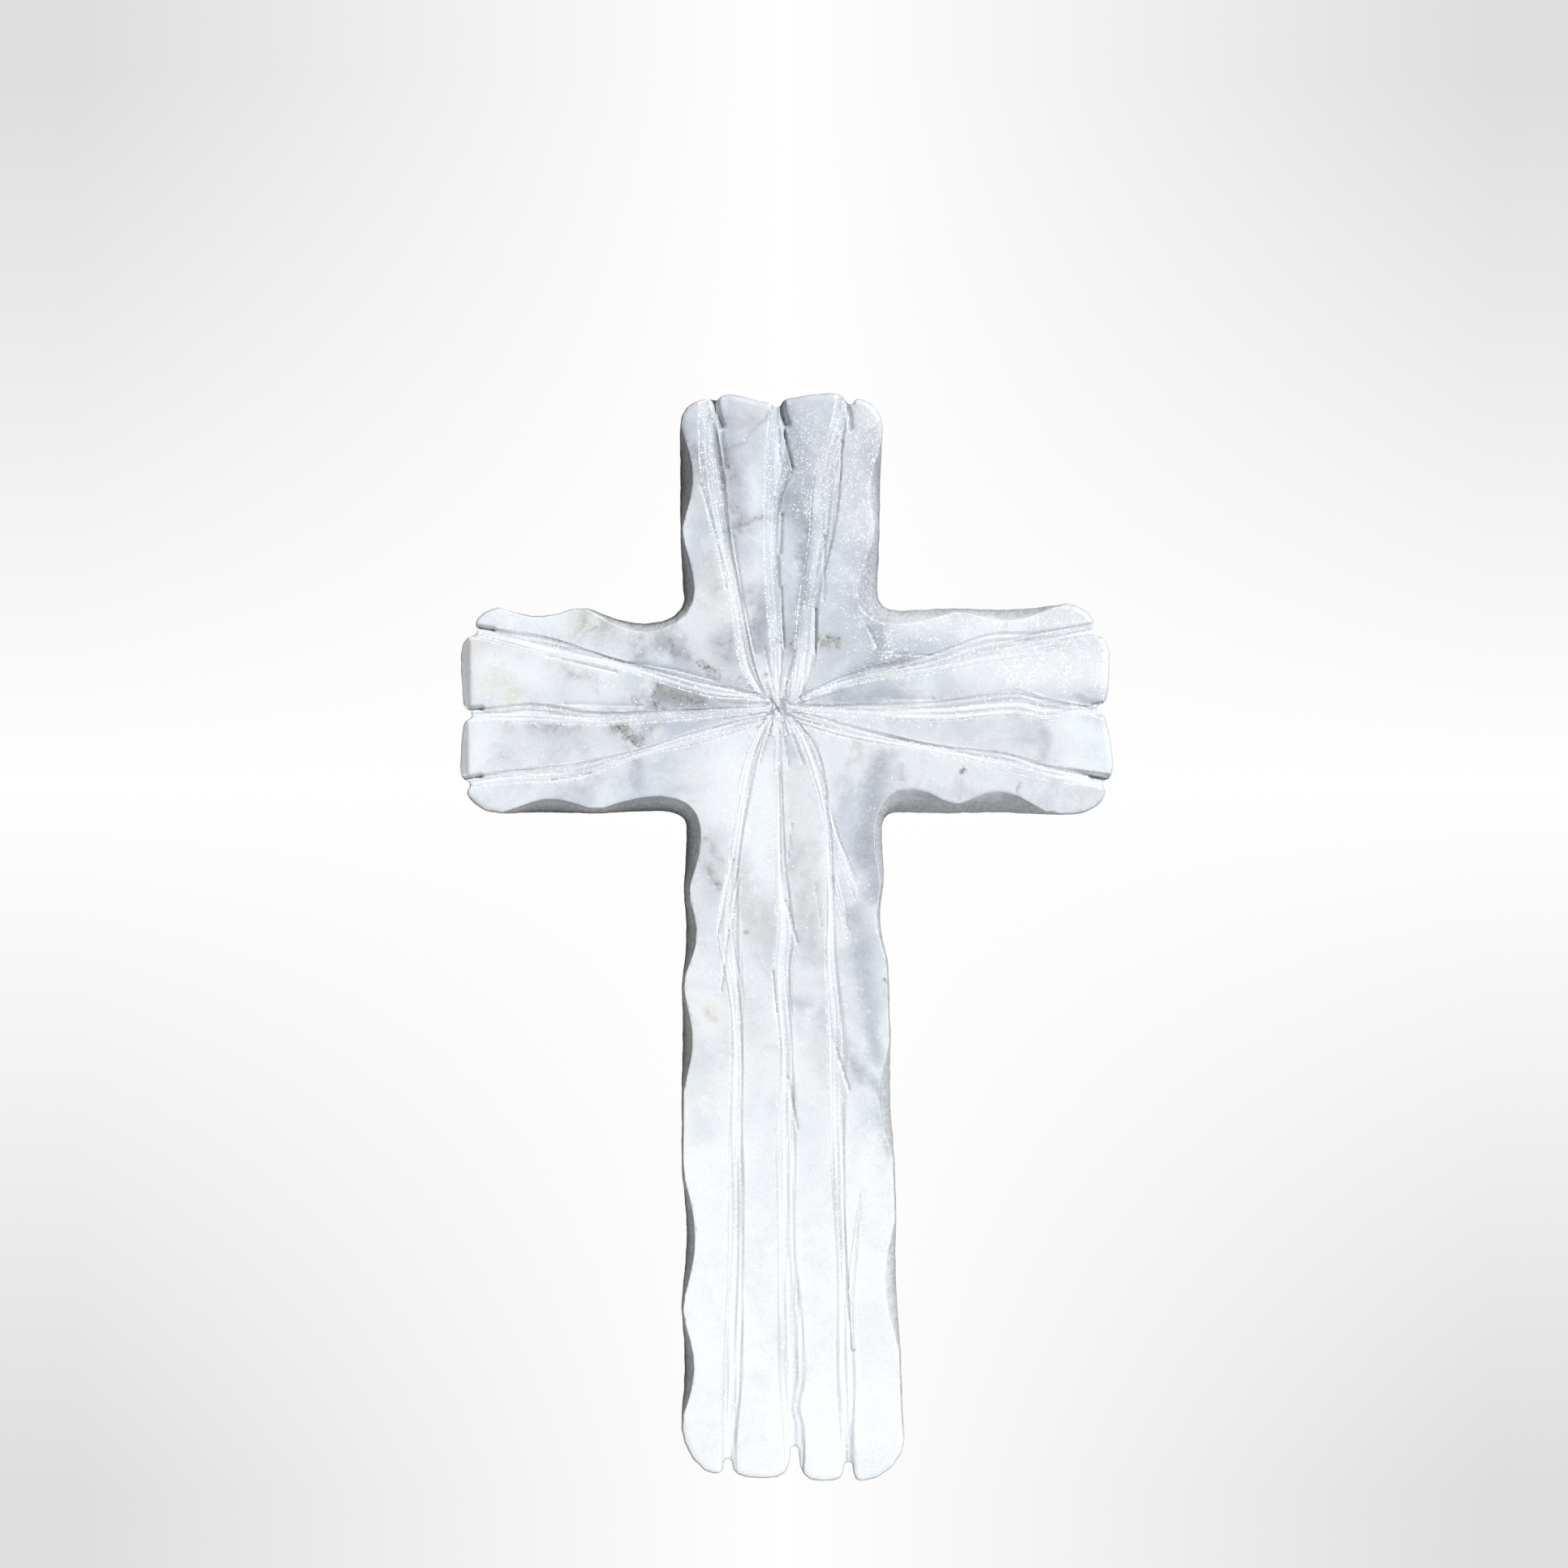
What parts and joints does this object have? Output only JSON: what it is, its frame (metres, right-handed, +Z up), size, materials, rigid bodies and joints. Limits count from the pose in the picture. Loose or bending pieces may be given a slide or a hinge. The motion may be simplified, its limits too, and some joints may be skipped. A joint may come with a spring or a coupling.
{
  "type": "marble wall cross",
  "caption": "Latin wall cross carved out of a marble slab, with grooves that fan out from the crossing to lobed arm ends, ground wavy edges and a flat back to hang on a wall.",
  "frame": {"origin": "on the flat back, right behind the hub where the grooves of the front meet", "axes": "+Z up along the upright, +Y out of the back into the wall, +X to the right as the front is seen"},
  "size_m": [0.1527, 0.02, 0.2541],
  "materials": {
    "marble": "honed white marble with faint grey veins, frosted where it is ground"
  },
  "bodies": {
    "root": {"marble_cross": "marble"}
  },
  "joints": []
}
